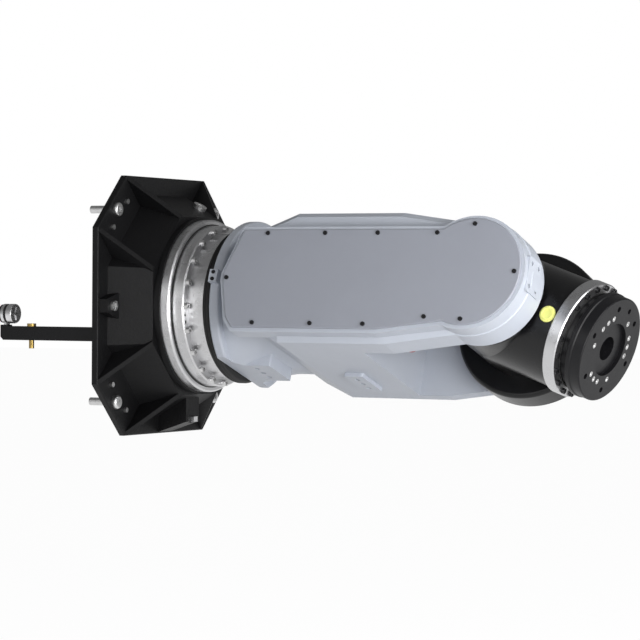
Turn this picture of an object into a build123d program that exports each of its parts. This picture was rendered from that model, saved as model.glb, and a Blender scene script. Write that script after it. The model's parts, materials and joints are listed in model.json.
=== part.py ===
"""Articulated robot wrist: roll, bend and twist axes between a mounting plate and a tool flange.

Row frame: X runs along the roll axis from the plate to the tool, Z is up, and the origin is the
centre of the mounting plate's back face. Three turned planes carry the other pieces. The arm plane
lies in the arm's flat side, with its x along X and its normal along the bend axis. The wrist plane
and the tool plane start at the bend centre, and share the twist axis.
"""
from build123d import *
import os
from math import cos, hypot, pi, radians, sin, tan

os.makedirs("parts", exist_ok=True)

# Rest pose
roll_angle = 19.7      # the arm's side leans back by this turn about the roll axis
bend_angle = 20.2      # the tool points down from the roll axis by this turn

# General fits
run_gap = 0.3          # between bodies that turn past each other
shaft_fit = 0.05       # radial clearance of a shaft in its bore
hole_fit = 0.4         # radial clearance of a screw in its hole
thread_fit = 0.05      # radial clearance drawn at a screw in its thread

# Mounting plate and hub casting
hub_base_half = 172.0
plate_margin = 28.0
plate_half = hub_base_half + plate_margin
plate_cut = 81.0
plate_t = 10.0
plate_edge = 2.0
hub_base_corner = 60.0
hub_top_half = 138.0
hub_corner_x = 70.0
hub_end_x = 80.0
hub_round_r = 137.0
hub_bore_r = 64.0
rib_t = 8.0
rib_in = 22.0
rib_end_back = 5.0
corner_bolt_in = 53.0
corner_bolt_xy = plate_half - corner_bolt_in
corner_bolt_r = 6.0
corner_hole_fit = 1.25
corner_bolt_stud = 35.0
corner_head_r = 10.75
corner_head_h = 6.6
corner_socket = 8.0
socket_depth = 4.0
dowel_in = 40.0
dowel_major = plate_half - dowel_in
dowel_minor = plate_half - 2 * dowel_in
dowel_r = 4.0
dowel_h = 14.0
dowel_seat = 2.0

# Side bosses and the lower stop boss
boss_h = 15.0
boss_tip_in = 3.0
boss_tip_y = plate_half - boss_tip_in
boss_root_in = 22.0
boss_root_y = hub_base_half - boss_root_in
boss_tip_half = 10.0
boss_root_half = 24.0
boss_bolt_in = 19.0
boss_bolt_y = plate_half - boss_bolt_in
boss_head_r = 7.75
boss_head_h = 5.0
boss_shank_r = 5.0
boss_shank_len = 18.0
stop_boss_half = 20.0
stop_boss_top_x = 60.0
stop_low_in = 2.0
stop_boss_low = plate_half - stop_low_in
stop_high_in = 19.0
stop_boss_high = plate_half - stop_high_in
stop_block_w = 11.0
stop_block_t = 8.0
stop_block_in = 6.0

# Oil plug on the upper slope of the hub
plug_x = 43.0
plug_y = 45.0
plug_head_r = 11.0
plug_head_h = 6.0
plug_shank_r = 8.0
plug_shank_len = 12.0
plug_hex = 10.0

# Roll gear
gear_ring_r = 134.0
gear_ring_t = 15.0
gear_ring_bore = 60.0
gear_ring_chamfer = 2.5
roll_motor_r = 60.0
roll_motor_flange_r = 62.0
roll_motor_flange_t = 6.0
roll_motor_len = 70.0
output_r = 125.0
output_t = 20.0
output_edge = 2.0
spigot_len = 12.0
hub_screw_count = 20
hub_screw_pcr = 119.2
hub_screw_head_r = 5.0
hub_screw_head_h = 6.0
hub_screw_shank_r = 3.0
hub_screw_shank_len = 12.0
hub_screw_socket = 5.0
jack_hole_r = 2.5
jack_hole_turns = (6.5, 11.5)
neck_r = 112.0
neck_end_x = 143.0
seat_r = 104.0
seal_wall = 14.0
seal_r = seat_r + seal_wall
seal_x = 144.0
seal_t = 16.0
seal_round = 3.0

# Arm housing
arm_x = 162.6
rim_r = 131.0
rim_t = 17.0
rim_round = 4.0
waist_x = 246.0
waist_u = 80.0
waist_n = 132.0
waist_round = 50.0
collar_r = 119.0
body_x = 296.0
body_u = 102.0
body_n = 140.0
taper_x = 472.0
bend_x = 603.0
tine_r = 88.0
tine_join_x = 583.0
body_edge = 9.0
slot_x = 420.0
front_tine_n = 89.0
back_tine_n = 112.0
cover_n = 162.0
cover_t = 4.0
land_base = 5.5

# Machined pads
pad_h = 6.0
pad_round = 3.0
pad_hole_r = 4.25
pad_hole_depth = 10.0
pad_hole_pitch = 20.0
pad_half_x = 16.0
pad_half_n = 36.0
pad_a_x = 206.0
pad_a_half_x = 30.0
pad_b_x = 357.0
pad_n = -43.0
end_pad_x = 687.0
end_pad_u = 4.0
end_pad_n = 125.0
end_pad_half_u = 26.0
end_pad_half_n = 22.0
end_pad_h = 3.0
end_hole_u = 17.0
end_hole_n = 12.0
end_hole_r = 3.3
zero_block_w = 20.0
zero_block_len = 14.0
zero_block_h = 9.0
zero_screw_r = 1.6
zero_screw_head_h = 1.4
zero_screw_head_r = 3.0
zero_screw_len = 6.0
zero_screw_pitch = 11.0

# Belt cover
cover_left_x = 202.0
cover_left_top = -3.0
cover_left_low = -13.0
cover_slope_x = 225.0
cover_top_u = 65.0
cover_low_x = 218.0
cover_low_left = -73.0
cover_low_corner_x = 231.0
cover_low_u = -89.0
cover_rise_x = 468.0
cover_notch_u = -75.0
cover_r = 81.0
screw_pcr = 72.4
screw_xs = (266.2, 362.4, 449.1)
screw_last_x = 545.2
screw_top_u = 59.0
screw_low_u = -81.9
screw_left_x = 208.9
screw_left_u = -11.4
screw_last_low = -69.7
cover_head_r = 3.25
cover_head_h = 2.0
cover_shank_r = 2.0
cover_shank_len = 12.0
cover_socket = 2.5
cover_edge = 1.0

# Bend drive
drive_x = 330.0
drive_teeth = 20
driven_teeth = 40
tooth_pitch = 8.0
tooth_depth = 2.6
tooth_w = 4.2
pulley_w = 20.0
pulley_n = 108.0
drive_shaft_in = 40.0
pulley_flange_t = 1.5
pulley_flange_h = 3.0
belt_t = 4.0
belt_w = 16.0
belt_room = 4.0
pocket_floor = 104.0
motor_r = 42.0
motor_len = 150.0
motor_shaft_r = 8.0
motor_flange_r = 48.0
motor_flange_t = 8.0

# Bend pivot
pivot_r = 20.0
bearing_r = 42.0
bearing_w = 12.0
bearing_n = 90.0
bend_gear_r = 64.0
bend_gear_w = 28.0
shaft_chamfer = 1.0
rear_cap_r = 76.0
rear_cap_t = 6.0
rear_screw_count = 8
rear_screw_pcr = 70.0
rear_screw_r = 2.5
rear_head_r = 4.2
rear_head_h = 4.0
rear_shank_len = 12.0

# Wrist casting
disc_r = 115.0
disc_front_n = 68.0
disc_round = 6.0
core_r = 82.0
core_front_n = 80.0
throat_r = 83.0
throat_len = 118.0
core_round = 8.0
twist_motor_r = 40.0
twist_motor_start = 32.0
fill_plug_l = 103.0
fill_plug_seat = 76.0
fill_plug_r = 12.5
fill_plug_h = 8.0
fill_plug_core_r = 6.0
fill_plug_core_h = 8.0
fill_plug_round = 2.5
buffer_x = 488.0
buffer_u = -83.0
buffer_r = 11.0
buffer_h = 20.0
buffer_round = 3.0

# Twist gear and tool flange
twist_ring_r = 87.4
twist_ring_t = 20.0
twist_ring_bore = 50.0
twist_ring_edge = 1.5
twist_screw_pcr = 81.5
twist_screw_pitch = 18
twist_screw_skip = 90
twist_screw_head_r = 4.2
twist_screw_head_h = 4.0
twist_screw_shank_r = 2.5
twist_screw_len = 12.0
groove_r = 72.0
groove_end = 151.0
step_r = 80.0
step_end = 160.0
flange_r = 78.5
flange_face = 176.5
flange_round = 2.0
recess_r = 40.0
recess_depth = 6.0
pilot_r = 18.0
pilot_depth = 10.0
tool_pcr = 62.5
tool_hole_r = 4.25
tool_hole_depth = 15.0
tool_dowel_r = 4.0
tool_dowel_depth = 12.0
flange_screw_pcr = 49.4
flange_screw_phase = 55.0
flange_screw_pitch = 16.1
flange_single_turn = 47.8
flange_head_r = 4.0
flange_head_h = 4.0
flange_head_sink = 4.3
flange_shank_r = 2.5

# Cable bar and clamp behind the plate
bar_in = 35.0
bar_y = bar_in - plate_half
bar_t = 12.0
bar_top = -33.0
bar_low = -54.5
bar_len = 186.0
bar_round = 5.0
bar_lip_len = 14.0
bar_lip_h = 2.0
bar_foot_w = 34.0
bar_foot_t = 6.0
bar_bolt_x = -132.0
bar_bolt_r = 4.0
bar_bolt_head_r = 7.0
bar_bolt_head_h = 4.4
bar_bolt_out = 12.6
bar_bolt_socket = 5.0
clamp_r = 15.2
clamp_face_x = -161.0
clamp_disc_t = 10.0
clamp_ring_t = 4.5
clamp_band_t = 5.0
clamp_insert_r = 10.0
clamp_insert_t = 1.6
clamp_insert_in = 3.5
clamp_ring_in = 1.0
clamp_lift = 2.0
clamp_round = 1.5
clamp_foot_w = 10.0

# Turned planes
arm_up = Vector(0, sin(radians(roll_angle)), cos(radians(roll_angle)))
bend_dir = Vector(0, -cos(radians(roll_angle)), sin(radians(roll_angle)))
along = Vector(1, 0, 0)
tool_dir = along * cos(radians(bend_angle)) - arm_up * sin(radians(bend_angle))
tool_side = along * sin(radians(bend_angle)) + arm_up * cos(radians(bend_angle))
bend_centre = along * bend_x
arm_plane = Plane(origin=(0, 0, 0), x_dir=along, z_dir=bend_dir)
wrist_plane = Plane(origin=bend_centre, x_dir=tool_dir, z_dir=bend_dir)
tool_plane = Plane(origin=bend_centre, x_dir=tool_side, z_dir=tool_dir)


def under_plane(depth):
    """Plane looking out of the arm's underside, x along the arm and y along the bend axis."""
    return Plane(origin=arm_up * -depth, x_dir=along, z_dir=-arm_up)


def section_plane(x):
    """Plane across the arm, with its x along the arm's up direction and y along the bend axis."""
    return Plane(origin=along * x, x_dir=arm_up, z_dir=along)


def save(piece, label):
    """Label a finished piece and write its file."""
    piece.part.label = label
    export_step(piece.part, "parts/" + label + ".step")


def cap_screws(planes, head_r, head_h, shank_r, shank_len, socket):
    """Socket head screws, one on each plane; the plane is the face under the head."""
    with BuildPart() as screws:
        for plane in planes:
            with BuildSketch(plane):
                Circle(head_r)
            extrude(amount=head_h)
            with BuildSketch(plane):
                Circle(shank_r)
            extrude(amount=-shank_len)
            with BuildSketch(plane.offset(head_h)):
                RegularPolygon(socket / 2, 6, major_radius=False)
            extrude(amount=-head_h / 2, mode=Mode.SUBTRACT)
    return screws


def planes_on_circle(base, radius, angles):
    """Planes parallel to a base plane, spaced round a circle at the given angles."""
    spots = []
    for angle in angles:
        turned = radians(angle)
        spots.append(Plane(origin=base.from_local_coords((radius * cos(turned), radius * sin(turned), 0)),
                           x_dir=base.x_dir, z_dir=base.z_dir))
    return spots


def octagon(half, corner):
    """Square of the given half width with its corners cut, where a corner is half a side."""
    return Polygon((half, -corner), (half, corner), (corner, half), (-corner, half),
                   (-half, corner), (-half, -corner), (-corner, -half), (corner, -half), align=None)


plate_corner = plate_half - plate_cut
hub_top_corner = hub_top_half * tan(radians(22.5))
signs = (-1, 1)
corner_spots = [(y * corner_bolt_xy, z * corner_bolt_xy) for y in signs for z in signs]
dowel_spots = [(y * dowel_major, z * dowel_minor) for y in signs for z in signs]
dowel_spots += [(y * dowel_minor, z * dowel_major) for y in signs for z in signs]
hub_slope = (hub_base_half - hub_top_half) / (hub_corner_x - plate_t)
plug_z = hub_base_half - hub_slope * (plug_x - plate_t)
plug_plane = Plane(origin=(plug_x, plug_y, plug_z), x_dir=(0, 1, 0), z_dir=(hub_slope, 0, 1))


def rib_plane(top, foot):
    """Plane of one rib, through a hub corner, with its x towards the plate corner and y along X."""
    run = Vector(0, foot[0] - top[0], foot[1] - top[1]).normalized()
    return Plane(origin=(0, top[0], top[1]), x_dir=run, z_dir=run.cross(along))


rib_run = hypot(plate_half - hub_top_half, plate_corner - hub_top_corner) - rib_end_back

# Mounting plate, eight sided hub, thin ribs and bosses in one casting
with BuildPart() as adapter:
    with BuildSketch(Plane.YZ):
        octagon(plate_half, plate_corner)
    extrude(amount=plate_t)
    fillet(adapter.faces().sort_by(Axis.X)[-1].edges(), plate_edge)
    with BuildSketch(Plane.YZ.offset(plate_t)):
        octagon(hub_base_half, hub_base_corner)
    with BuildSketch(Plane.YZ.offset(hub_corner_x)):
        octagon(hub_top_half, hub_top_corner)
    loft()
    with BuildSketch(Plane.YZ.offset(hub_corner_x)):
        Circle(hub_round_r)
    extrude(amount=hub_end_x - hub_corner_x)
    for sy in signs:
        for sz in signs:
            for top, foot in (((hub_top_half, hub_top_corner), (plate_half, plate_corner)),
                              ((hub_top_corner, hub_top_half), (plate_corner, plate_half))):
                plane = rib_plane((sy * top[0], sz * top[1]), (sy * foot[0], sz * foot[1]))
                with BuildSketch(plane):
                    Polygon((-rib_in, plate_t / 2), (rib_run, plate_t / 2), (rib_run, plate_t),
                            (0, hub_corner_x), (-rib_in, hub_corner_x), align=None)
                extrude(amount=rib_t / 2, both=True)
    for sy in signs:
        with BuildSketch(Plane.YZ):
            Polygon((sy * boss_tip_y, -boss_tip_half), (sy * boss_tip_y, boss_tip_half),
                    (sy * boss_root_y, boss_root_half), (sy * boss_root_y, -boss_root_half), align=None)
        extrude(amount=plate_t + boss_h)
    with BuildSketch(Plane.XZ):
        Polygon((plate_t / 2, -stop_boss_low), (plate_t, -stop_boss_low), (stop_boss_top_x, -stop_boss_high),
                (stop_boss_top_x, -hub_top_half), (plate_t / 2, -hub_top_half), align=None)
    extrude(amount=stop_boss_half, both=True)
    with BuildSketch(Plane.YZ):
        Circle(hub_bore_r)
    extrude(amount=hub_end_x, mode=Mode.SUBTRACT)
    with BuildSketch(Plane.YZ):
        with Locations(*corner_spots):
            Circle(corner_bolt_r + corner_hole_fit)
    extrude(amount=plate_t, mode=Mode.SUBTRACT)
    with BuildSketch(Plane.YZ.offset(dowel_seat)):
        with Locations(*dowel_spots):
            Circle(dowel_r + thread_fit)
    extrude(amount=plate_t, mode=Mode.SUBTRACT)
    with BuildSketch(Plane.YZ.offset(plate_t + boss_h)):
        with Locations((-boss_bolt_y, 0), (boss_bolt_y, 0)):
            Circle(boss_shank_r + thread_fit)
    extrude(amount=-boss_shank_len, mode=Mode.SUBTRACT)
    with BuildSketch(plug_plane):
        Circle(plug_shank_r + thread_fit)
    extrude(amount=-plug_shank_len, mode=Mode.SUBTRACT)
    with BuildSketch(Plane.YZ.offset(stop_boss_top_x - stop_block_in)):
        with Locations((0, -stop_boss_high)):
            Rectangle(stop_block_w, 2 * stop_block_t)
    extrude(amount=2 * stop_block_in, mode=Mode.SUBTRACT)
save(adapter, "adapter_flange")

# Four button head bolts, whose shanks stand out behind the plate
bolt_planes = [Plane(origin=(plate_t, y, z), x_dir=(0, 1, 0), z_dir=along) for y, z in corner_spots]
with BuildPart() as adapter_bolts:
    for plane in bolt_planes:
        with BuildSketch(plane):
            Circle(corner_head_r)
        extrude(amount=corner_head_h)
    fillet(adapter_bolts.faces().filter_by(Plane.YZ).group_by(Axis.X)[-1].edges(), corner_head_h / 2)
    for plane in bolt_planes:
        with BuildSketch(plane):
            Circle(corner_bolt_r)
        extrude(amount=-(plate_t + corner_bolt_stud))
        with BuildSketch(plane.offset(corner_head_h)):
            RegularPolygon(corner_socket / 2, 6, major_radius=False)
        extrude(amount=-socket_depth, mode=Mode.SUBTRACT)
save(adapter_bolts, "adapter_bolts")

# Eight dowels beside the bolts
with BuildPart() as adapter_dowels:
    with BuildSketch(Plane.YZ.offset(dowel_seat)):
        with Locations(*dowel_spots):
            Circle(dowel_r)
    extrude(amount=dowel_h - dowel_seat)
save(adapter_dowels, "adapter_dowels")

# Screws in the two side bosses
boss_planes = [Plane(origin=(plate_t + boss_h, y, 0), x_dir=(0, 1, 0), z_dir=along)
               for y in (-boss_bolt_y, boss_bolt_y)]
side_boss_bolts = cap_screws(boss_planes, boss_head_r, boss_head_h, boss_shank_r, boss_shank_len,
                             corner_socket)
save(side_boss_bolts, "side_boss_bolts")

# Steel block let into the end of the lower boss
with BuildPart() as stop_block:
    with BuildSketch(Plane.YZ.offset(stop_boss_top_x - stop_block_in)):
        with Locations((0, -stop_boss_high + stop_block_t / 2)):
            Rectangle(stop_block_w, stop_block_t)
    extrude(amount=2 * stop_block_in)
save(stop_block, "stop_block")

# Oil plug
oil_plug = cap_screws([plug_plane], plug_head_r, plug_head_h, plug_shank_r, plug_shank_len, plug_hex)
save(oil_plug, "oil_plug")

# Steel ring of the roll gear, fixed to the hub
ring_front_x = hub_end_x + gear_ring_t
with BuildPart() as roll_gear_ring:
    with BuildSketch(Plane.YZ.offset(hub_end_x)):
        Circle(gear_ring_r)
        Circle(gear_ring_bore + shaft_fit, mode=Mode.SUBTRACT)
    extrude(amount=gear_ring_t)
    ring_edge = roll_gear_ring.faces().sort_by(Axis.X)[-1].edges().sort_by(SortBy.RADIUS)[-1]
    chamfer(ring_edge, gear_ring_chamfer)
save(roll_gear_ring, "roll_gear_ring")

# Motor of the roll gear, inside the hub and seated on the back of the ring
with BuildPart() as roll_motor:
    with BuildSketch(Plane.YZ.offset(hub_end_x)):
        Circle(roll_motor_flange_r)
    extrude(amount=-roll_motor_flange_t)
    with BuildSketch(Plane.YZ.offset(hub_end_x - roll_motor_flange_t)):
        Circle(roll_motor_r - roll_motor_flange_t)
    extrude(amount=-(roll_motor_len - roll_motor_flange_t))
save(roll_motor, "roll_motor")

# Output hub of the roll gear, with its spigot in the ring
output_x = ring_front_x + run_gap
output_end = output_x + output_t
with BuildPart() as output_hub:
    with BuildSketch(Plane.XZ):
        with BuildLine():
            Polyline((output_x - spigot_len, 0), (output_x - spigot_len, gear_ring_bore),
                     (output_x, gear_ring_bore), (output_x, output_r - output_edge),
                     (output_x + output_edge, output_r), (output_end - output_edge, output_r),
                     (output_end, output_r - output_edge), (output_end, neck_r), (neck_end_x, neck_r),
                     (neck_end_x, seat_r), (arm_x, seat_r), (arm_x, 0), close=True)
        make_face()
    revolve(axis=Axis.X)
    with BuildSketch(Plane.YZ.offset(output_end)):
        with PolarLocations(hub_screw_pcr, hub_screw_count):
            Circle(hub_screw_shank_r + thread_fit)
        for jack_turn in jack_hole_turns:
            with PolarLocations(hub_screw_pcr, 2, start_angle=jack_turn):
                Circle(jack_hole_r)
    extrude(amount=-hub_screw_shank_len, mode=Mode.SUBTRACT)
save(output_hub, "output_hub")

# Ring of cap screws on the output hub
screw_angles = [360 / hub_screw_count * k for k in range(hub_screw_count)]
hub_screws = cap_screws(planes_on_circle(Plane.YZ.offset(output_end), hub_screw_pcr, screw_angles),
                        hub_screw_head_r, hub_screw_head_h, hub_screw_shank_r, hub_screw_shank_len,
                        hub_screw_socket)
save(hub_screws, "hub_screws")

# Rubber seal between the hub and the arm
with BuildPart() as shaft_seal:
    with BuildSketch(Plane.YZ.offset(seal_x)):
        Circle(seal_r)
        Circle(seat_r, mode=Mode.SUBTRACT)
    extrude(amount=seal_t)
    fillet(shaft_seal.edges().filter_by(GeomType.CIRCLE).group_by(SortBy.RADIUS)[-1], seal_round)
save(shaft_seal, "shaft_seal")


def cover_outline(grow):
    """Outline of the belt cover, moved out by the given distance."""
    with BuildSketch(mode=Mode.PRIVATE) as outline:
        with BuildLine():
            arc_top = (bend_x, cover_r)
            top_foot_x = bend_x - (cover_r ** 2 - cover_top_u ** 2) ** 0.5
            low_foot_x = bend_x - (cover_r ** 2 - cover_notch_u ** 2) ** 0.5
            Polyline((top_foot_x, cover_top_u), (cover_slope_x, cover_top_u),
                     (cover_left_x, cover_left_top), (cover_left_x, cover_left_low),
                     (cover_low_x, cover_low_left), (cover_low_corner_x, cover_low_u),
                     (cover_rise_x, cover_low_u), (low_foot_x, cover_notch_u))
            ThreePointArc((low_foot_x, cover_notch_u), (bend_x + cover_r, 0), (top_foot_x, cover_top_u))
        make_face()
        if grow:
            offset(amount=grow, kind=Kind.ARC)
    return outline.sketch


def belt_room_sketch(wall):
    """Slot shaped room round both pulleys, with the given clearance past the belt."""
    with BuildSketch(mode=Mode.PRIVATE) as room:
        with Locations((drive_x, 0)):
            Circle(drive_pitch_r + belt_t + wall)
        with Locations((bend_x, 0)):
            Circle(driven_pitch_r + belt_t + wall)
        make_hull()
    return room.sketch


drive_pitch_r = drive_teeth * tooth_pitch / (2 * pi)
driven_pitch_r = driven_teeth * tooth_pitch / (2 * pi)
land_top_n = cover_n - cover_t
tine_join_u = (tine_r ** 2 - (bend_x - tine_join_x) ** 2) ** 0.5
motor_back_n = pocket_floor - motor_flange_t - motor_len
pad_depth = body_u + pad_h
screw_spots = [(x, screw_top_u) for x in screw_xs] + [(x, screw_low_u) for x in screw_xs]
screw_spots += [(screw_last_x, screw_top_u), (screw_last_x, screw_last_low)]
screw_spots += [(screw_left_x, screw_left_u), (bend_x + screw_pcr, 0), (bend_x, screw_pcr),
                (bend_x, -screw_pcr)]

# Arm housing: rim, waist, body, fork, belt room and pads in one casting
with BuildPart() as arm_housing:
    with BuildSketch(arm_plane.offset(-body_n)):
        with BuildLine():
            Polyline((tine_join_x, tine_join_u), (taper_x, body_u), (body_x, body_u), (waist_x, waist_u),
                     (waist_x, -waist_u), (body_x, -body_u), (taper_x, -body_u), (tine_join_x, -tine_join_u))
            ThreePointArc((tine_join_x, -tine_join_u), (bend_x + tine_r, 0), (tine_join_x, tine_join_u))
        make_face()
    extrude(amount=2 * body_n)
    rim_edges = arm_housing.edges().filter_by(lambda e: abs(abs(e.center().dot(bend_dir)) - body_n) < 1)
    chamfer(rim_edges.filter_by(lambda e: e.center().X > waist_x + 1), body_edge)
    with BuildSketch(section_plane(arm_x + rim_t)):
        Circle(collar_r)
    with BuildSketch(section_plane(waist_x + body_edge)):
        RectangleRounded(2 * waist_u, 2 * waist_n, waist_round)
    loft()
    with BuildSketch(section_plane(arm_x)):
        Circle(rim_r)
    extrude(amount=rim_t)
    round_edges = arm_housing.edges().filter_by(GeomType.CIRCLE)
    rim_rings = round_edges.filter_by(lambda e: abs(e.radius - rim_r) < thread_fit)
    fillet(rim_rings, rim_round)
    with BuildSketch(arm_plane.offset(body_n - body_edge)):
        add(cover_outline(land_base))
    extrude(amount=land_top_n - body_n + body_edge)
    with BuildSketch(under_plane(waist_u - pad_h)):
        with Locations((pad_a_x, 0)):
            RectangleRounded(2 * pad_a_half_x, 2 * pad_half_n, pad_round)
    extrude(amount=pad_depth - waist_u + pad_h)
    with BuildSketch(under_plane(body_u - pad_h)):
        with Locations((pad_b_x, pad_n)):
            RectangleRounded(2 * pad_half_x, 2 * pad_half_n, pad_round)
    extrude(amount=2 * pad_h)
    with BuildSketch(under_plane(pad_depth)):
        with Locations((pad_a_x, 0)):
            Rectangle(4 * pad_a_half_x, 2 * rim_r)
    extrude(amount=rim_r, mode=Mode.SUBTRACT)
    with BuildSketch(section_plane(end_pad_x - tine_r / 2)):
        with Locations((end_pad_u, end_pad_n)):
            RectangleRounded(2 * end_pad_half_u, 2 * end_pad_half_n, pad_round)
    extrude(amount=tine_r / 2 + end_pad_h)
    with BuildSketch(arm_plane.offset(-back_tine_n)):
        with BuildLine():
            Polyline((bend_x + 2 * tine_r, -2 * tine_r), (bend_x + 2 * tine_r, 2 * tine_r),
                     (slot_x, 2 * tine_r), (slot_x, -2 * tine_r), close=True)
        make_face()
    extrude(amount=back_tine_n + front_tine_n, mode=Mode.SUBTRACT)
    with BuildSketch(arm_plane.offset(pocket_floor)):
        add(belt_room_sketch(belt_room))
    extrude(amount=cover_n - pocket_floor, mode=Mode.SUBTRACT)
    with BuildSketch(arm_plane.offset(pocket_floor)):
        with Locations((drive_x, 0)):
            Circle(motor_flange_r + hole_fit)
    extrude(amount=motor_back_n - pocket_floor, mode=Mode.SUBTRACT)
    with BuildSketch(arm_plane.offset(pocket_floor)):
        with Locations((bend_x, 0)):
            Circle(bearing_r + shaft_fit)
    extrude(amount=front_tine_n - pocket_floor, mode=Mode.SUBTRACT)
    with BuildSketch(arm_plane.offset(-back_tine_n)):
        with Locations((bend_x, 0)):
            Circle(bend_gear_r + shaft_fit)
    extrude(amount=back_tine_n - body_n, mode=Mode.SUBTRACT)
    with BuildSketch(arm_plane.offset(land_top_n)):
        with Locations(*screw_spots):
            Circle(cover_shank_r + thread_fit)
    extrude(amount=-cover_shank_len, mode=Mode.SUBTRACT)
    with BuildSketch(arm_plane.offset(-body_n)):
        with Locations((bend_x, 0)):
            with PolarLocations(rear_screw_pcr, rear_screw_count):
                Circle(rear_screw_r + thread_fit)
    extrude(amount=rear_shank_len, mode=Mode.SUBTRACT)
    with BuildSketch(under_plane(pad_depth)):
        with Locations((pad_b_x, pad_n), (pad_b_x, pad_n - pad_hole_pitch), (pad_b_x, pad_n + pad_hole_pitch),
                       (pad_a_x, 0), (pad_a_x, -pad_hole_pitch), (pad_a_x, pad_hole_pitch)):
            Circle(pad_hole_r)
    extrude(amount=-pad_hole_depth, mode=Mode.SUBTRACT)
    with BuildSketch(section_plane(end_pad_x + end_pad_h)):
        with Locations((end_pad_u, end_pad_n)):
            with GridLocations(2 * end_hole_u, 2 * end_hole_n, 2, 2):
                Circle(end_hole_r)
    extrude(amount=-pad_hole_depth, mode=Mode.SUBTRACT)
save(arm_housing, "arm_housing")

# Belt cover, a flat plate on the raised land of the housing
with BuildPart() as belt_cover:
    with BuildSketch(arm_plane.offset(land_top_n)):
        add(cover_outline(0))
        with Locations(*screw_spots):
            Circle(cover_shank_r + hole_fit, mode=Mode.SUBTRACT)
    extrude(amount=cover_t)
    cover_rim = belt_cover.faces().sort_by(Axis((0, 0, 0), bend_dir))[-1].outer_wire().edges()
    chamfer(cover_rim, cover_edge)
save(belt_cover, "belt_cover")

# Screws of the belt cover
cover_planes = [Plane(origin=arm_plane.from_local_coords((x, u, cover_n)), x_dir=along, z_dir=bend_dir)
                for x, u in screw_spots]
cover_screws = cap_screws(cover_planes, cover_head_r, cover_head_h, cover_shank_r,
                          cover_shank_len, cover_socket)
save(cover_screws, "cover_screws")

# Zero mark block on the arm's rim, with its two screws
zero_x = arm_x + rim_t / 2
zero_top = rim_r + zero_block_h
with BuildPart() as zero_block:
    with BuildSketch(arm_plane.offset(rim_r - zero_block_h)):
        with Locations((zero_x, 0)):
            Rectangle(zero_block_len, zero_block_w)
    extrude(amount=2 * zero_block_h)
    with BuildSketch(Plane.YZ.offset(arm_x)):
        Circle(rim_r)
    extrude(amount=rim_t, mode=Mode.SUBTRACT)
    with BuildSketch(arm_plane.offset(zero_top)):
        with Locations((zero_x, -zero_screw_pitch / 2), (zero_x, zero_screw_pitch / 2)):
            Circle(zero_screw_r + thread_fit)
    extrude(amount=-zero_screw_len, mode=Mode.SUBTRACT)
save(zero_block, "zero_block")

zero_planes = [Plane(origin=arm_plane.from_local_coords((zero_x, u, zero_top)), x_dir=along, z_dir=bend_dir)
               for u in (-zero_screw_pitch / 2, zero_screw_pitch / 2)]
zero_screws = cap_screws(zero_planes, zero_screw_head_r, zero_screw_head_h, zero_screw_r,
                         zero_screw_len, zero_screw_r)
save(zero_screws, "zero_screws")


def toothed_pulley(plane, teeth, pitch_r, bore_r):
    """Belt pulley with cut teeth and a flange on each side, standing on the given plane."""
    with BuildPart() as pulley:
        with BuildSketch(plane):
            Circle(pitch_r)
            with PolarLocations(pitch_r, teeth):
                Rectangle(2 * tooth_depth, tooth_w, mode=Mode.SUBTRACT)
        extrude(amount=pulley_w)
        for start in (0, pulley_w - pulley_flange_t):
            with BuildSketch(plane.offset(start)):
                Circle(pitch_r + pulley_flange_h)
            extrude(amount=pulley_flange_t)
        with BuildSketch(plane):
            Circle(bore_r + shaft_fit)
        extrude(amount=pulley_w, mode=Mode.SUBTRACT)
    return pulley


drive_plane = Plane(origin=arm_plane.from_local_coords((drive_x, 0, pulley_n)), x_dir=along, z_dir=bend_dir)
driven_plane = Plane(origin=arm_plane.from_local_coords((bend_x, 0, pulley_n)), x_dir=along, z_dir=bend_dir)
drive_pulley = toothed_pulley(drive_plane, drive_teeth, drive_pitch_r, motor_shaft_r)
save(drive_pulley, "drive_pulley")

driven_pulley = toothed_pulley(driven_plane, driven_teeth, driven_pitch_r, pivot_r)
save(driven_pulley, "driven_pulley")

# Shaft of the drive pulley, running in the motor
with BuildPart() as drive_shaft:
    with BuildSketch(drive_plane.offset(-drive_shaft_in)):
        Circle(motor_shaft_r)
    extrude(amount=drive_shaft_in + pulley_w)
    chamfer(drive_shaft.edges().filter_by(GeomType.CIRCLE), shaft_chamfer)
save(drive_shaft, "drive_shaft")


def belt_loop(thickness):
    """Outline of the belt's inner face, moved out by the given distance."""
    with BuildSketch(mode=Mode.PRIVATE) as loop:
        with Locations((drive_x, 0)):
            Circle(drive_pitch_r + run_gap + thickness)
        with Locations((bend_x, 0)):
            Circle(driven_pitch_r + run_gap + thickness)
        make_hull()
    return loop.sketch


# Timing belt round both pulleys
with BuildPart() as timing_belt:
    with BuildSketch(arm_plane.offset(pulley_n + (pulley_w - belt_w) / 2)):
        add(belt_loop(belt_t))
        add(belt_loop(0), mode=Mode.SUBTRACT)
    extrude(amount=belt_w)
save(timing_belt, "timing_belt")

# Motor of the bend drive, let into the arm from the belt room
motor_plane = Plane(origin=arm_plane.from_local_coords((drive_x, 0, pocket_floor)), x_dir=along,
                    z_dir=bend_dir)
with BuildPart() as bend_motor:
    with BuildSketch(motor_plane):
        Circle(motor_flange_r)
    extrude(amount=-motor_flange_t)
    with BuildSketch(motor_plane.offset(-motor_flange_t)):
        Circle(motor_r)
    extrude(amount=-motor_len)
    with BuildSketch(motor_plane):
        Circle(motor_shaft_r + shaft_fit)
    extrude(amount=-drive_shaft_in, mode=Mode.SUBTRACT)
save(bend_motor, "bend_motor")

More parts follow.
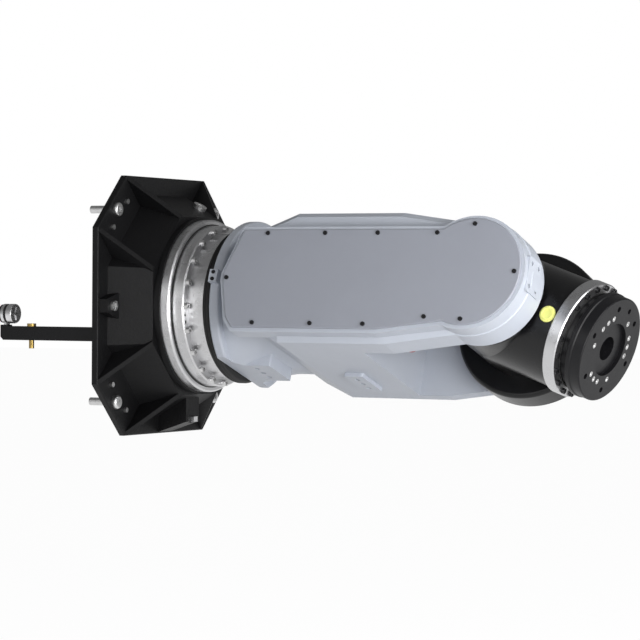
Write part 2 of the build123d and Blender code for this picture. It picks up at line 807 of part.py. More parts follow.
# Bearing of the bend pivot in the front tine
with BuildPart() as front_bearing:
    with BuildSketch(wrist_plane.offset(bearing_n)):
        Circle(bearing_r)
        Circle(pivot_r + shaft_fit, mode=Mode.SUBTRACT)
    extrude(amount=bearing_w)
    bearing_rims = front_bearing.edges().filter_by(GeomType.CIRCLE).group_by(SortBy.RADIUS)[-1]
    chamfer(bearing_rims, shaft_chamfer)
save(front_bearing, "front_bearing")

# Reducing gear of the bend axis in the back tine, its cap and the cap's screws
with BuildPart() as bend_gear:
    with BuildSketch(wrist_plane.offset(-body_n)):
        Circle(bend_gear_r)
        Circle(pivot_r + shaft_fit, mode=Mode.SUBTRACT)
    extrude(amount=bend_gear_w)
save(bend_gear, "bend_gear")

rear_plane = Plane(origin=arm_plane.from_local_coords((bend_x, 0, -body_n)), x_dir=along,
                   z_dir=-bend_dir)
rear_angles = [360 / rear_screw_count * k for k in range(rear_screw_count)]
with BuildPart() as rear_cap:
    with BuildSketch(rear_plane):
        Circle(rear_cap_r)
    extrude(amount=rear_cap_t)
    chamfer(rear_cap.edges().group_by(Axis((0, 0, 0), -bend_dir))[-1], shaft_chamfer)
    with BuildSketch(rear_plane):
        with PolarLocations(rear_screw_pcr, rear_screw_count):
            Circle(rear_screw_r + hole_fit)
    extrude(amount=rear_cap_t, mode=Mode.SUBTRACT)
save(rear_cap, "rear_cap")

rear_cap_screws = cap_screws(planes_on_circle(rear_plane.offset(rear_cap_t), rear_screw_pcr, rear_angles),
                             rear_head_r, rear_head_h, rear_screw_r, rear_shank_len, rear_screw_r * 2)
save(rear_cap_screws, "rear_cap_screws")

# Red end buffer on the inner face of the front tine
buffer_plane = Plane(origin=arm_plane.from_local_coords((buffer_x, buffer_u, front_tine_n)),
                     x_dir=along, z_dir=-bend_dir)
with BuildPart() as end_buffer:
    with BuildSketch(buffer_plane):
        Circle(buffer_r)
    extrude(amount=buffer_h)
    fillet(end_buffer.edges().group_by(Axis((0, 0, 0), -bend_dir))[-1], buffer_round)
save(end_buffer, "end_buffer")

# Wrist casting: gear disc, round core and throat, bored for the pivot and the twist motor
disc_back_n = back_tine_n - run_gap
plug_seat_plane = Plane(origin=wrist_plane.from_local_coords((fill_plug_l, 0, fill_plug_seat)),
                        x_dir=tool_dir, z_dir=bend_dir)
with BuildPart() as wrist_casting:
    with BuildSketch(wrist_plane.offset(-disc_back_n)):
        Circle(disc_r)
    extrude(amount=disc_back_n - disc_front_n)
    disc_rims = wrist_casting.edges().filter_by(GeomType.CIRCLE).group_by(Axis((0, 0, 0), bend_dir))[-1]
    fillet(disc_rims, disc_round)
    with BuildSketch(wrist_plane.offset(-disc_front_n)):
        Circle(core_r)
    extrude(amount=disc_front_n + core_front_n)
    core_rims = wrist_casting.edges().filter_by(GeomType.CIRCLE).group_by(Axis((0, 0, 0), bend_dir))[-1]
    fillet(core_rims, core_round)
    with BuildSketch(tool_plane):
        Circle(throat_r)
    extrude(amount=throat_len)
    with BuildSketch(tool_plane.offset(throat_len)):
        Circle(twist_motor_r + thread_fit)
    extrude(amount=twist_motor_start - throat_len, mode=Mode.SUBTRACT)
    with BuildSketch(wrist_plane.offset(-disc_back_n)):
        Circle(pivot_r + thread_fit)
    extrude(amount=disc_back_n + front_tine_n, mode=Mode.SUBTRACT)
    with BuildSketch(plug_seat_plane):
        Circle(fill_plug_r + hole_fit)
    extrude(amount=throat_r - fill_plug_seat, mode=Mode.SUBTRACT)
    with BuildSketch(plug_seat_plane):
        Circle(fill_plug_core_r + thread_fit)
    extrude(amount=-fill_plug_core_h, mode=Mode.SUBTRACT)
save(wrist_casting, "wrist_casting")

# Pivot shaft from the back tine to the driven pulley
with BuildPart() as pivot_shaft:
    with BuildSketch(wrist_plane.offset(run_gap - body_n)):
        Circle(pivot_r)
    extrude(amount=body_n - run_gap + pulley_n + pulley_w)
    chamfer(pivot_shaft.edges().filter_by(GeomType.CIRCLE), shaft_chamfer)
save(pivot_shaft, "pivot_shaft")

# Yellow filler plug on the throat
with BuildPart() as filler_plug:
    with BuildSketch(plug_seat_plane):
        Circle(fill_plug_r)
    extrude(amount=fill_plug_h)
    fillet(filler_plug.edges().group_by(Axis((0, 0, 0), bend_dir))[-1], fill_plug_round)
    with BuildSketch(plug_seat_plane):
        Circle(fill_plug_core_r)
    extrude(amount=-fill_plug_core_h)
save(filler_plug, "filler_plug")

# Steel ring of the twist gear and its screws
twist_front = throat_len + twist_ring_t
twist_angles = [k for k in range(0, 360, twist_screw_pitch) if k != twist_screw_skip]
twist_screw_planes = planes_on_circle(tool_plane.offset(twist_front), twist_screw_pcr, twist_angles)
with BuildPart() as twist_ring:
    with BuildSketch(tool_plane.offset(throat_len)):
        Circle(twist_ring_r)
        Circle(twist_ring_bore + shaft_fit, mode=Mode.SUBTRACT)
    extrude(amount=twist_ring_t)
    ring_rims = twist_ring.edges().filter_by(GeomType.CIRCLE).group_by(SortBy.RADIUS)[-1]
    chamfer(ring_rims, twist_ring_edge)
    for plane in twist_screw_planes:
        with BuildSketch(plane):
            Circle(twist_screw_shank_r + thread_fit)
        extrude(amount=-twist_screw_len, mode=Mode.SUBTRACT)
save(twist_ring, "twist_ring")

twist_screws = cap_screws(twist_screw_planes, twist_screw_head_r, twist_screw_head_h,
                          twist_screw_shank_r, twist_screw_len, twist_screw_shank_r * 2)
save(twist_screws, "twist_screws")

# Motor of the twist gear, in the throat
with BuildPart() as twist_motor:
    with BuildSketch(tool_plane.offset(twist_motor_start)):
        Circle(twist_motor_r)
    extrude(amount=throat_len - twist_motor_start)
save(twist_motor, "twist_motor")

# Turning hub of the twist gear: spigot, groove and step
hub_start = twist_front + run_gap
with BuildPart() as tool_hub:
    with BuildSketch(tool_plane.offset(throat_len + run_gap)):
        Circle(twist_ring_bore)
    extrude(amount=twist_ring_t)
    with BuildSketch(tool_plane.offset(hub_start)):
        Circle(groove_r)
    extrude(amount=groove_end - hub_start)
    with BuildSketch(tool_plane.offset(groove_end)):
        Circle(step_r)
    extrude(amount=step_end - groove_end)
    step_rims = tool_hub.edges().filter_by(GeomType.CIRCLE).group_by(SortBy.RADIUS)[-1]
    chamfer(step_rims, twist_ring_edge)
    with BuildSketch(tool_plane.offset(step_end)):
        Circle(pilot_r)
    extrude(amount=-pilot_depth, mode=Mode.SUBTRACT)
save(tool_hub, "tool_hub")

# Tool flange with its centring recess, tapped holes and sunk screws
flange_angles = [flange_screw_phase + 120 * k + turned for k in range(3)
                 for turned in (-flange_screw_pitch, 0, flange_screw_pitch, flange_single_turn)]
flange_spots = [(flange_screw_pcr * cos(radians(a)), flange_screw_pcr * sin(radians(a)))
                for a in flange_angles]
with BuildPart() as tool_flange:
    with BuildSketch(tool_plane.offset(step_end)):
        Circle(flange_r)
    extrude(amount=flange_face - step_end)
    flange_rim = tool_flange.edges().filter_by(GeomType.CIRCLE).group_by(Axis((0, 0, 0), tool_dir))[-1]
    fillet(flange_rim, flange_round)
    with BuildSketch(tool_plane.offset(flange_face)):
        Circle(recess_r)
    extrude(amount=-recess_depth, mode=Mode.SUBTRACT)
    with BuildSketch(tool_plane.offset(step_end)):
        Circle(pilot_r)
    extrude(amount=flange_face - step_end, mode=Mode.SUBTRACT)
    with BuildSketch(tool_plane.offset(flange_face)):
        with PolarLocations(tool_pcr, 6, start_angle=30):
            Circle(tool_hole_r)
    extrude(amount=-tool_hole_depth, mode=Mode.SUBTRACT)
    with BuildSketch(tool_plane.offset(flange_face)):
        with Locations((tool_pcr, 0)):
            Circle(tool_dowel_r)
    extrude(amount=-tool_dowel_depth, mode=Mode.SUBTRACT)
    with BuildSketch(tool_plane.offset(flange_face)):
        with Locations(*flange_spots):
            Circle(flange_head_r + hole_fit)
    extrude(amount=-flange_head_sink, mode=Mode.SUBTRACT)
    with BuildSketch(tool_plane.offset(flange_face)):
        with Locations(*flange_spots):
            Circle(flange_shank_r + thread_fit)
    extrude(amount=step_end - flange_face, mode=Mode.SUBTRACT)
save(tool_flange, "tool_flange")

flange_screw_planes = planes_on_circle(tool_plane.offset(flange_face - flange_head_sink),
                                       flange_screw_pcr, flange_angles)
flange_shank_len = flange_face - flange_head_sink - step_end
flange_screws = cap_screws(flange_screw_planes, flange_head_r, flange_head_h, flange_shank_r,
                           flange_shank_len, flange_shank_r * 2)
save(flange_screws, "flange_screws")

# Cable bar behind the plate, with its foot and its bolt
bar_mid_z = (bar_top + bar_low) / 2
with BuildPart() as cable_bar:
    with BuildSketch(Plane.XZ.offset(-bar_y - bar_t / 2)):
        with BuildLine():
            Polyline((0, bar_top), (bar_lip_len - bar_len, bar_top),
                     (bar_lip_len - bar_len, bar_top + bar_lip_h), (-bar_len, bar_top + bar_lip_h),
                     (-bar_len, bar_low + bar_round), (bar_round - bar_len, bar_low),
                     (0, bar_low), close=True)
        make_face()
    extrude(amount=bar_t)
    with BuildSketch(Plane.YZ):
        with Locations((bar_y, bar_mid_z)):
            RectangleRounded(bar_foot_w, bar_foot_w, bar_round)
    extrude(amount=-bar_foot_t)
    with BuildSketch(Plane.XY.offset(bar_top)):
        with Locations((bar_bolt_x, bar_y)):
            Circle(bar_bolt_r + thread_fit)
    extrude(amount=bar_low - bar_top, mode=Mode.SUBTRACT)
save(cable_bar, "cable_bar")

bar_bolt_plane = Plane(origin=(bar_bolt_x, bar_y, bar_top), x_dir=(1, 0, 0), z_dir=(0, 0, 1))
bar_bolt = cap_screws([bar_bolt_plane], bar_bolt_head_r, bar_bolt_head_h, bar_bolt_r,
                      bar_top - bar_low + bar_bolt_out, bar_bolt_socket)
save(bar_bolt, "bar_bolt")

# Cable clamp on the end of the bar: metal disc with an insert, rubber rings and a footed band
clamp_z = bar_top + bar_lip_h + clamp_r + clamp_lift


def clamp_plane(x):
    """Plane across the clamp's axis."""
    return Plane(origin=(x, bar_y, clamp_z), x_dir=(0, 1, 0), z_dir=(1, 0, 0))


band_x = clamp_face_x - clamp_disc_t - clamp_ring_t
with BuildPart() as clamp_disc:
    with BuildSketch(clamp_plane(clamp_face_x)):
        Circle(clamp_r)
    extrude(amount=-clamp_disc_t)
    fillet(clamp_disc.edges().filter_by(GeomType.CIRCLE).sort_by(Axis.X)[-1], clamp_round)
save(clamp_disc, "clamp_disc")

with BuildPart() as clamp_insert:
    with BuildSketch(clamp_plane(clamp_face_x)):
        Polygon(*[((clamp_insert_r if k % 2 == 0 else clamp_insert_in) * cos(k * pi / 4),
                   (clamp_insert_r if k % 2 == 0 else clamp_insert_in) * sin(k * pi / 4))
                  for k in range(8)], align=None)
    extrude(amount=clamp_insert_t)
save(clamp_insert, "clamp_insert")

with BuildPart() as clamp_rings:
    for start in (clamp_face_x - clamp_disc_t, band_x - clamp_band_t):
        with BuildSketch(clamp_plane(start)):
            Circle(clamp_r - clamp_ring_in)
        extrude(amount=-clamp_ring_t)
save(clamp_rings, "clamp_rings")

with BuildPart() as clamp_band:
    with BuildSketch(clamp_plane(band_x)):
        Circle(clamp_r)
        with Locations((0, (bar_top + bar_lip_h - clamp_z) / 2)):
            Rectangle(clamp_foot_w, clamp_z - bar_top - bar_lip_h)
    extrude(amount=-clamp_band_t)
save(clamp_band, "clamp_band")
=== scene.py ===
# %% [markdown]
# This lesson dresses an articulated robot wrist: a black ribbed mounting plate, a rolling arm in
# blue grey paint with a flat belt cover, a bend joint in a fork, and a black tool flange. The
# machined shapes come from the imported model. They could be modelled again here, but then they
# might drift from the solids that move and collide, so they stay as they are. This file gives them
# their finishes, and adds the thin turned pieces that a fitter would see last.

# %% Load the frame
import json
from math import cos, pi, radians, sin

import bmesh
import bpy
from mathutils import Matrix, Vector


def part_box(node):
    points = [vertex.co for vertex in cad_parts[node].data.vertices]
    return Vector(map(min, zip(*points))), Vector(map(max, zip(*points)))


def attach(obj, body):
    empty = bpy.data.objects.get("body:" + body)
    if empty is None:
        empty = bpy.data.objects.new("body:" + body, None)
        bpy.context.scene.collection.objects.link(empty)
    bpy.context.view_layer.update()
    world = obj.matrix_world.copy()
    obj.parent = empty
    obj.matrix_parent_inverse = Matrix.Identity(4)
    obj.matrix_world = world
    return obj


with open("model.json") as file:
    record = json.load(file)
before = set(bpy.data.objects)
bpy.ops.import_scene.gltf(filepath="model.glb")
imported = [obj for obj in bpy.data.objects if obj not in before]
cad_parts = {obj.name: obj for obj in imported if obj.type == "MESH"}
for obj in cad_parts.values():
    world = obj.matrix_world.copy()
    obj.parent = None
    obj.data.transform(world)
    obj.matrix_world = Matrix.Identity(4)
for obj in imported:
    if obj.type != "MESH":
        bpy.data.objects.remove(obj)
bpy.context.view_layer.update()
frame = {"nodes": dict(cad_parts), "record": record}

# %% [markdown]
# The arm is rolled back a little and the tool points down a little. Every turned piece is placed
# by one of three directions: the roll axis along the arm, the bend axis out of the belt cover, and
# the tool's own axis. They could be typed in as angles, but the record's joints already hold them,
# so they are read from there and follow the model if it changes.

# %% Directions and places of the joints
joints = {joint["name"]: joint for joint in frame["record"]["behaviour"]["joints"]}
roll_axis = Vector(joints["roll"]["axis"]).normalized()
bend_axis = Vector(joints["bend"]["axis"]).normalized()
tool_axis = Vector(joints["twist"]["axis"]).normalized()
roll_centre = Vector((0, 0, 0))
bend_centre = Vector(joints["bend"]["pos_m"])
tool_reach = (Vector(joints["twist"]["pos_m"]) - bend_centre).length
MM = 0.001
print("bend axis", tuple(round(c, 3) for c in bend_axis), "tool reach", round(tool_reach, 4))

# %% [markdown]
# The camera stands where the photograph was taken from: far away with a long lens, looking at the
# arm's side from its tool end, almost level with the roll axis. It could be aimed at a target
# object, but a matrix made from three measured angles keeps the view exactly as it was fitted.

# %% Camera
CAMERA_PLACE = (2.32137, -3.86342, 0.02608)
CAMERA_LENS = 160.81
CAMERA_TURN = 27.8
CAMERA_RISE = 0.6
CAMERA_LEAN = 0.4
SENSOR_WIDTH = 36
VIEW_DEPTH = 100


def camera_matrix():
    """Matrix of a camera that looks level with a small rise and lean."""
    turn, rise = radians(CAMERA_TURN), radians(CAMERA_RISE)
    back = Vector((sin(turn) * cos(rise), -cos(turn) * cos(rise), sin(rise)))
    right = Vector((cos(turn), sin(turn), 0))
    up = back.cross(right)
    lean = Matrix.Rotation(radians(CAMERA_LEAN), 3, back)
    right, up = lean @ right, lean @ up
    return Matrix((right, up, back)).transposed().to_4x4()


camera_data = bpy.data.cameras.new("photo_camera")
camera_data.lens = CAMERA_LENS
camera_data.sensor_width = SENSOR_WIDTH
camera_data.clip_end = VIEW_DEPTH
camera = bpy.data.objects.new("photo_camera", camera_data)
camera.matrix_world = Matrix.Translation(CAMERA_PLACE) @ camera_matrix()
bpy.context.scene.collection.objects.link(camera)
bpy.context.scene.camera = camera
bpy.context.scene.view_settings.view_transform = "Standard"
print("camera at", CAMERA_PLACE)

# %% [markdown]
# Materials here are sums and products of a few noise and wave patterns. Each Math node could be
# added and linked by hand, but then the sum is hard to read. A small class wraps a node's output
# instead, so that the maths reads as maths, and one method makes any other node.


# %% Shader helper
class Wave:
    """A value or colour in a node tree, with arithmetic that adds Math nodes."""

    def __init__(self, tree, socket):
        self.tree = tree
        self.socket = socket

    def math(self, operation, other=None):
        node = self.tree.nodes.new("ShaderNodeMath")
        node.operation = operation
        for slot_number, value in enumerate((self, other)):
            if isinstance(value, Wave):
                self.tree.links.new(value.socket, node.inputs[slot_number])
            elif value is not None:
                node.inputs[slot_number].default_value = value
        return Wave(self.tree, node.outputs[0])

    def __add__(self, other):
        return self.math("ADD", other)

    __radd__ = __add__

    def __mul__(self, other):
        return self.math("MULTIPLY", other)

    __rmul__ = __mul__


class NodeMaker:
    """A node tree with one method that adds any node."""

    def __init__(self, tree):
        self.tree = tree

    def node(self, kind, settings=None, inputs=None, output=0):
        """Add a node, give it its settings and inputs, and return one of its outputs."""
        node = self.tree.nodes.new(kind)
        for key, value in (settings or {}).items():
            setattr(node, key, value)
        for key, value in (inputs or {}).items():
            if isinstance(value, Wave):
                self.tree.links.new(value.socket, node.inputs[key])
            else:
                node.inputs[key].default_value = value
        return Wave(self.tree, node.outputs[output])


class Finish(NodeMaker):
    """One material, with its Principled shader and the patterns that feed it."""

    def __init__(self, name, plain):
        self.material = bpy.data.materials.new(name)
        self.material.use_nodes = True
        super().__init__(self.material.node_tree)
        self.shader = self.tree.nodes["Principled BSDF"]
        for socket, value in plain.items():
            self.shader.inputs[socket].default_value = value
        self.place = self.node("ShaderNodeTexCoord", output="Object")

    def feed(self, socket, value):
        """Link a value or colour into the shader."""
        self.tree.links.new(value.socket, self.shader.inputs[socket])

    def noise(self, scale, detail=3.0, roughness=0.5):
        """Cloudy pattern; scale is in lumps per metre."""
        return self.node("ShaderNodeTexNoise", None,
                         {"Vector": self.place, "Scale": scale, "Detail": detail,
                          "Roughness": roughness})

    def colour_between(self, factor, low, high):
        """Base colour mixed between two colours."""
        ends = {"Factor": factor, 6: (*low, 1), 7: (*high, 1)}
        self.feed("Base Color", self.node("ShaderNodeMix", {"data_type": "RGBA"}, ends, output=2))

    def rough(self, value):
        """Gloss that changes over the surface."""
        self.feed("Roughness", value)

    def bump(self, height, depth):
        """Small relief; depth is in metres."""
        self.feed("Normal", self.node("ShaderNodeBump", None, {"Height": height, "Distance": depth}))


def shade(colour, factor):
    """The same colour, darker or paler."""
    return tuple(min(1.0, part * factor) for part in colour)


print("shader helper ready")

# %% [markdown]
# The arm's paint is a two part machine enamel over a casting: nearly one colour, with the fine
# orange peel of a spray gun, a faint cloud where the film is thicker, and grease smudges that
# change only the gloss. The cover is flat sheet, so its peel is finer. The black castings are satin
# paint over a sand cast skin, so they get a coarser grain. Each paint could be written out on its
# own, but all of them are the same layers at other scales, so one function makes them.


# %% Paints
def paint(name, colour, rough, peel_scale, peel_depth, coat=0.0, cloud=0.08, sheen=0.5):
    """Sprayed paint with orange peel, thickness clouds and smudged gloss."""
    finish = Finish(name, {"Coat Weight": coat, "Specular IOR Level": sheen})
    clouds = finish.noise(9.0, detail=4.0, roughness=0.6)
    specks = finish.noise(900.0, detail=2.0)
    finish.colour_between(clouds * 0.8 + specks * 0.2,
                          shade(colour, 1 - cloud), shade(colour, 1 + cloud))
    smudge = finish.noise(35.0, detail=5.0, roughness=0.65)
    finish.rough(smudge * 0.16 + (rough - 0.08))
    peel, fine_peel = finish.noise(peel_scale), finish.noise(peel_scale * 3, detail=2.0)
    finish.bump(peel * 0.7 + fine_peel * 0.3, peel_depth)
    return finish.material


grey_paint = paint("grey_paint", (0.47, 0.50, 0.56), 0.42, 700.0, 0.00025)
cover_paint = paint("cover_paint", (0.30, 0.315, 0.36), 0.4, 1100.0, 0.00012)
black_casting = paint("black_casting", (0.004, 0.004, 0.0045), 0.5, 260.0, 0.0005,
                      cloud=0.25, sheen=0.22)
black_gloss = paint("black_gloss", (0.004, 0.004, 0.0045), 0.3, 420.0, 0.0002,
                    coat=0.08, cloud=0.2, sheen=0.3)
black_coat = paint("black_coat", (0.006, 0.006, 0.007), 0.4, 1500.0, 0.00006,
                   cloud=0.25, sheen=0.25)
motor_black = paint("motor_black", (0.012, 0.012, 0.014), 0.5, 500.0, 0.0002,
                    cloud=0.2, sheen=0.3)
print("paints made")

# %% [markdown]
# Turned steel shows the lathe: fine rings round the axis, which stretch a highlight across them.
# The rings could be cut into the mesh, but they are thinner than a hair. So the distance along an
# axis is worked out from the object's own coordinates, a sine of it gives the rings, and a second
# noise breaks them up, as a real cut does.

# %% Metals
RING_PITCH = 0.8 * MM
FINE_RING_SHARE = 0.37
RING_DEPTH = 0.04 * MM


def turned(name, colour, rough, axis):
    """Machined metal with fine rings along an axis, and patches of handling marks."""
    finish = Finish(name, {"Metallic": 1.0})
    run = finish.node("ShaderNodeVectorMath", {"operation": "DOT_PRODUCT"},
                      {0: finish.place, 1: tuple(axis)}, output="Value")
    rings = (run * (2 * pi / RING_PITCH) + finish.noise(40.0) * 4.0).math("SINE") * 0.5 + 0.5
    fine = (run * (2 * pi / (RING_PITCH * FINE_RING_SHARE))).math("SINE") * 0.5 + 0.5
    marks = finish.noise(60.0, detail=6.0, roughness=0.7)
    finish.colour_between(marks * 0.7 + rings * 0.3, shade(colour, 0.82), shade(colour, 1.08))
    finish.rough(marks * 0.2 + rings * 0.06 + (rough - 0.12))
    finish.bump(rings * 0.6 + fine * 0.4, RING_DEPTH)
    return finish.material


def plated(name, colour, rough, metallic=1.0):
    """Plated or blackened screws and small steel pieces, with worn and dull patches."""
    finish = Finish(name, {"Metallic": metallic})
    dull = finish.noise(160.0, detail=5.0, roughness=0.7)
    finish.colour_between(dull, shade(colour, 0.72), shade(colour, 1.2))
    finish.rough(dull * 0.24 + (rough - 0.1))
    finish.bump(finish.noise(400.0, detail=4.0), 0.08 * MM)
    return finish.material


ground_steel = turned("ground_steel", (0.62, 0.62, 0.63), 0.3, roll_axis)
twist_steel = turned("twist_steel", (0.62, 0.62, 0.63), 0.3, tool_axis)
zinc_bolt = plated("zinc_bolt", (0.66, 0.66, 0.66), 0.34)
bright_steel = plated("bright_steel", (0.72, 0.72, 0.73), 0.3)
dark_steel = plated("dark_steel", (0.07, 0.07, 0.075), 0.4)
black_screw = plated("black_screw", (0.022, 0.022, 0.024), 0.38, metallic=0.5)
aluminium = turned("aluminium", (0.72, 0.73, 0.75), 0.35, bend_axis)
brass = plated("brass", (0.42, 0.30, 0.10), 0.4)
print("metals made")

# %% [markdown]
# Rubber and moulded plastic are not metals: their colour is in the body, and the light part comes
# from a broad sheen. A plain colour with a high roughness would do from afar, but close by the
# rubber has a fine pitted skin and the plugs a light moulding grain, so a noise gives both.


# %% Rubber and plastic
def moulded(name, colour, rough, grain, depth, cloud=0.12):
    """Rubber or plastic with a moulded grain and slightly uneven colour."""
    finish = Finish(name, {})
    dust = finish.noise(70.0, detail=5.0, roughness=0.65)
    finish.colour_between(dust, shade(colour, 1 - cloud), shade(colour, 1 + cloud))
    finish.rough(dust * 0.2 + (rough - 0.1))
    finish.bump(finish.noise(grain), depth)
    return finish.material


rubber_black = moulded("rubber_black", (0.008, 0.008, 0.008), 0.7, 900.0, 0.0002, cloud=0.3)
red_buffer = moulded("red_buffer", (0.30, 0.012, 0.010), 0.45, 600.0, 0.0001)
yellow_plug = moulded("yellow_plug", (0.74, 0.76, 0.22), 0.4, 500.0, 0.00008)
print("rubber and plastic made")

# %% [markdown]
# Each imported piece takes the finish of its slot, so a piece that joins the model later is dressed
# without a change here. Three pieces differ from their slot: the ring of the twist gear has its
# turned lines round the tool's axis, and the dowels and the oil plug are zinc plated.

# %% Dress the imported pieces
finishes = {"grey_paint": grey_paint, "cover_paint": cover_paint, "black_casting": black_casting,
            "black_gloss": black_gloss, "black_coat": black_coat, "motor_black": motor_black,
            "ground_steel": ground_steel, "zinc_bolt": zinc_bolt, "bright_steel": bright_steel,
            "dark_steel": dark_steel, "black_screw": black_screw, "aluminium": aluminium,
            "brass": brass, "rubber_black": rubber_black, "red_buffer": red_buffer,
            "yellow_plug": yellow_plug}
special = {"twist_ring": twist_steel, "adapter_dowels": zinc_bolt, "oil_plug": zinc_bolt}
for subpart in frame["record"]["subparts"]:
    node = frame["nodes"][subpart["node"]]
    node.data.materials.clear()
    node.data.materials.append(special.get(subpart["node"], finishes[subpart["material_slot"]]))

# %% [markdown]
# Rubber lips and rims are rings. A torus could stand in for the round ones, but a rim has flat
# faces. Half a cross section spun round an axis makes both: the profile is a short list of
# distance along the axis and radius, closed on itself, and the spin closes the ring.

# %% Ring maker
CORD_SIDES = 10
SHARP_EDGE = radians(35)


def axis_matrix(origin, axis):
    """Matrix that carries local Z to the axis and the origin to the given place."""
    turn = axis.to_track_quat("Z", "Y").to_matrix().to_4x4()
    return Matrix.Translation(origin) @ turn


def spun_ring(name, profile, origin, axis, material, body, steps=96):
    """Ring made by spinning a closed profile of (distance along, radius) round an axis."""
    mesh_maker = bmesh.new()
    corners = [mesh_maker.verts.new((radius, 0, run)) for run, radius in profile]
    edges = [mesh_maker.edges.new((corners[k - 1], corners[k])) for k in range(len(corners))]
    bmesh.ops.spin(mesh_maker, geom=corners + edges, cent=(0, 0, 0), axis=(0, 0, 1),
                   angle=2 * pi, steps=steps, use_merge=True)
    bmesh.ops.remove_doubles(mesh_maker, verts=mesh_maker.verts, dist=1e-6)
    bmesh.ops.recalc_face_normals(mesh_maker, faces=mesh_maker.faces)
    bmesh.ops.transform(mesh_maker, matrix=axis_matrix(origin, axis), verts=mesh_maker.verts)
    mesh = bpy.data.meshes.new(name)
    mesh_maker.to_mesh(mesh)
    mesh_maker.free()
    for face in mesh.polygons:
        face.use_smooth = True
    mesh.set_sharp_from_angle(angle=SHARP_EDGE)
    mesh.materials.append(material)
    piece = bpy.data.objects.new(name, mesh)
    bpy.context.scene.collection.objects.link(piece)
    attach(piece, body)
    print(name, "faces", len(mesh.polygons))


def round_section(run, radius, thick):
    """Round cross section of a lip or ridge, as a closed profile."""
    turns = [2 * pi * k / CORD_SIDES for k in range(CORD_SIDES)]
    return [(run + thick * cos(turn), radius + thick * sin(turn)) for turn in turns]


# %% [markdown]
# The roll gear has a thin rubber lip where the hub turns in its ring, and the seal behind it has
# two ridges. The twist gear has the same lip between its steel ring and the turning hub. Dark
# lines in a material could hint at them, but a lip catches light on its round top, so each is a
# thin ring of its own. It rides on the body that holds it still.

# %% Lips and ridges
LIP_THICK = 0.9 * MM
ROLL_LIP_RADIUS = 126.2 * MM
ROLL_LIP_PROUD = 0.4 * MM
RIDGE_THICK = 1.2 * MM
RIDGE_SHARES = (0.3, 0.7)
TWIST_FRONT = 138 * MM
TWIST_LIP_RADIUS = 73 * MM
TWIST_LIP_PROUD = 1.0 * MM

ring_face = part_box("roll_gear_ring")[1][0]
seal_low, seal_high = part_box("shaft_seal")
seal_radius = (seal_high[1] - seal_low[1]) / 2
spun_ring("roll_lip", round_section(ring_face + ROLL_LIP_PROUD, ROLL_LIP_RADIUS, LIP_THICK),
          roll_centre, roll_axis, rubber_black, "base")
for count, share in enumerate(RIDGE_SHARES, start=1):
    place = seal_low[0] + (seal_high[0] - seal_low[0]) * share
    spun_ring(f"seal_ridge_{count}", round_section(place, seal_radius, RIDGE_THICK),
              roll_centre, roll_axis, rubber_black, "arm")
spun_ring("twist_lip", round_section(TWIST_FRONT + TWIST_LIP_PROUD, TWIST_LIP_RADIUS, LIP_THICK),
          bend_centre, tool_axis, rubber_black, "wrist")

# %% [markdown]
# The yellow plug is a moulded cap with a sunk middle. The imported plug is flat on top, and its mesh
# must not be changed, so a raised rim is spun round its axis and sits on its face. The middle then
# reads as sunk.

# %% Filler plug rim
PLUG_RUN = 103 * MM
PLUG_TOP = 84 * MM
RIM_SUNK = 0.4 * MM
RIM_RISE = 1.4 * MM
RIM_INSIDE_FOOT, RIM_INSIDE_TOP = 6.5 * MM, 7.0 * MM
RIM_OUTSIDE_TOP, RIM_OUTSIDE_FOOT = 9.0 * MM, 9.8 * MM
RIM_STEPS = 48

plug_origin = bend_centre + tool_axis * PLUG_RUN
rim_profile = [(PLUG_TOP - RIM_SUNK, RIM_INSIDE_FOOT), (PLUG_TOP + RIM_RISE, RIM_INSIDE_TOP),
               (PLUG_TOP + RIM_RISE, RIM_OUTSIDE_TOP), (PLUG_TOP - RIM_SUNK, RIM_OUTSIDE_FOOT)]
spun_ring("plug_rim", rim_profile, plug_origin, bend_axis, yellow_plug, "wrist",
          steps=RIM_STEPS)

# %% [markdown]
# The set stands over a plain pale floor. More lamp light would turn it white, but would also wash
# out the paint. So white comes from what the camera and glossy rays see in the floor's material,
# and the lamps stay low.

# %% Floor
FLOOR_DROP = 0.42
FLOOR_HALF = 14.0
GLOW_SHARE = 0.97
WHITE = (1, 1, 1, 1)

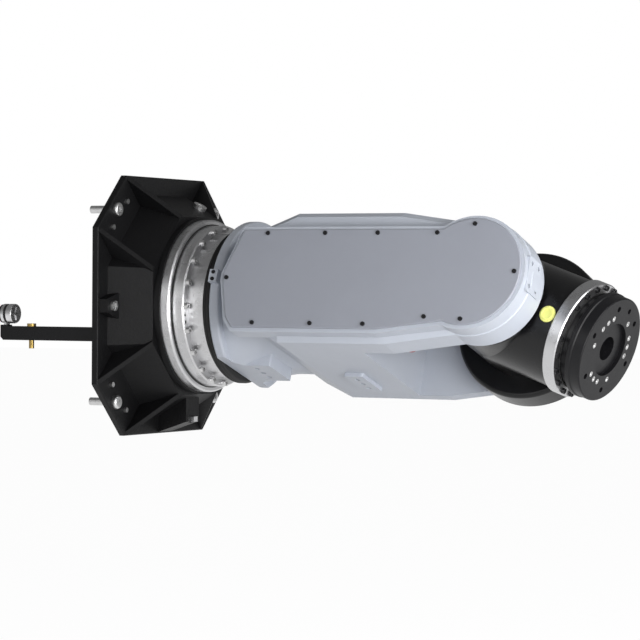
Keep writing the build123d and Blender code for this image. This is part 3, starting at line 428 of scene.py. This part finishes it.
floor_maker = bmesh.new()
bmesh.ops.create_grid(floor_maker, x_segments=4, y_segments=4, size=FLOOR_HALF)
bmesh.ops.translate(floor_maker, vec=(0, 0, -FLOOR_DROP), verts=floor_maker.verts)
floor_mesh = bpy.data.meshes.new("floor")
floor_maker.to_mesh(floor_mesh)
floor_maker.free()
floor = bpy.data.objects.new("floor", floor_mesh)
bpy.context.scene.collection.objects.link(floor)
floor_finish = Finish("floor_white", {"Roughness": 0.9})
floor_finish.colour_between(floor_finish.noise(12.0), (0.84, 0.84, 0.85), (0.88, 0.88, 0.89))
seen = floor_finish.node("ShaderNodeLightPath", output="Is Camera Ray").math(
    "MAXIMUM", floor_finish.node("ShaderNodeLightPath", output="Is Glossy Ray"))
glow = floor_finish.node("ShaderNodeEmission", None, {"Color": WHITE, "Strength": 1.0})
plain_floor = Wave(floor_finish.tree, floor_finish.shader.outputs[0])
blend = floor_finish.node("ShaderNodeMixShader", None,
                          {0: seen * GLOW_SHARE, 1: plain_floor, 2: glow})
floor_output = floor_finish.tree.nodes["Material Output"]
floor_finish.tree.links.new(blend.socket, floor_output.inputs["Surface"])
floor_mesh.materials.append(floor_finish.material)
print("floor", -FLOOR_DROP)

# %% [markdown]
# The world is white to the camera and dim to the object, for the same reason as the floor. The
# photograph's light comes from below and from the tool's side. One strong lamp there would give
# hard shadows, so three large soft ones share the work, and the strongest lies low on that side.

# %% World and lamps
AMBIENT = 0.20
LAMP_TARGET = (0.4, 0.0, 0.0)

world = bpy.data.worlds.new("studio")
bpy.context.scene.world = world
world.use_nodes = True
sky = NodeMaker(world.node_tree)
background = sky.tree.nodes["Background"]
background.inputs["Color"].default_value = WHITE
sky_seen = sky.node("ShaderNodeLightPath", output="Is Camera Ray")
sky.tree.links.new((sky_seen * (1 - AMBIENT) + AMBIENT).socket, background.inputs["Strength"])


def soft_lamp(name, place, size, power):
    """Large soft area lamp, aimed at the middle of the arm."""
    lamp_data = bpy.data.lights.new(name, "AREA")
    lamp_data.shape = "DISK"
    lamp_data.size = size
    lamp_data.energy = power
    lamp = bpy.data.objects.new(name, lamp_data)
    aim = (Vector(LAMP_TARGET) - Vector(place)).to_track_quat("-Z", "Y").to_matrix().to_4x4()
    lamp.matrix_world = Matrix.Translation(place) @ aim
    lamp.visible_camera = False
    bpy.context.scene.collection.objects.link(lamp)
    print(name, "at", place, "watts", power)


soft_lamp("low_lamp", (1.7, -1.2, -0.40), size=1.3, power=46)
soft_lamp("side_lamp", (2.6, -0.4, 0.7), size=1.6, power=34)
soft_lamp("front_lamp", (-0.6, -3.2, 0.9), size=1.8, power=15)
